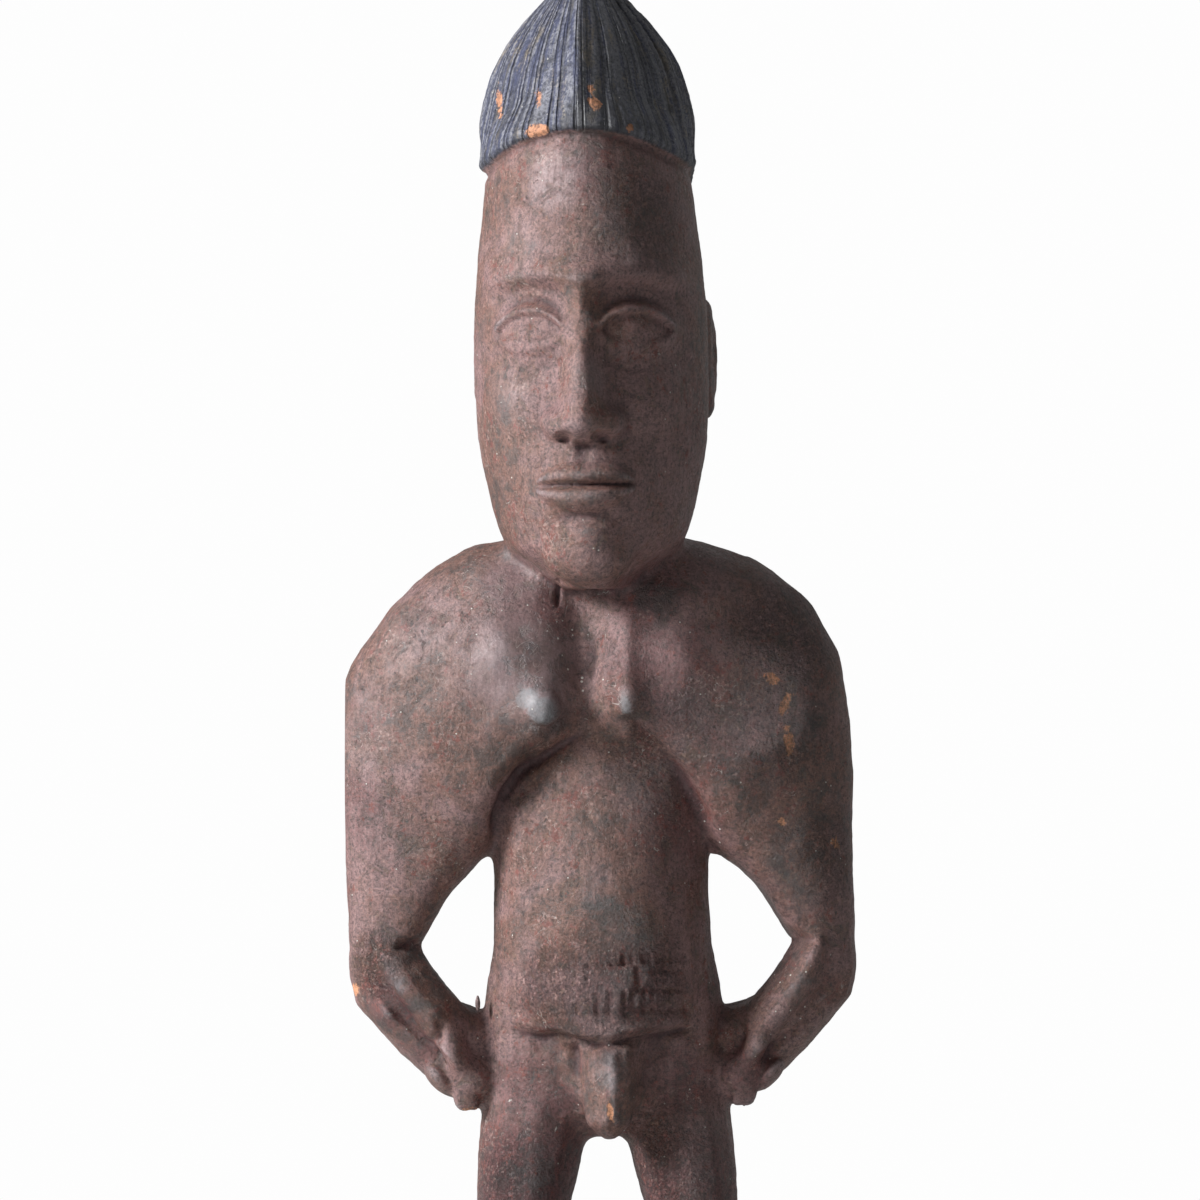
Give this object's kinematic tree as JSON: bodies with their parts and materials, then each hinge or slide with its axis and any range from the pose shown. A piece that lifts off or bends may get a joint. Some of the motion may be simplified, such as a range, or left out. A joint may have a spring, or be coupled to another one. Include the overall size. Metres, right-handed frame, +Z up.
{
  "type": "ibeji figure",
  "caption": "Standing carved wooden twin figure with a tall combed blue coiffure, hands at the hips and a low round base.",
  "frame": {"origin": "centre of the underside of the round base", "axes": "+Z up along the figure, the face and chest look along -Y, +X is the viewer's right"},
  "size_m": [0.0925, 0.0646, 0.3],
  "materials": {
    "patinated_wood": "dark red-brown camwood patina, pitted and worn to a soft sheen on the ridges, with an indigo-blue coiffure and ochre chips"
  },
  "bodies": {
    "root": {"figure": "patinated_wood"}
  },
  "joints": []
}
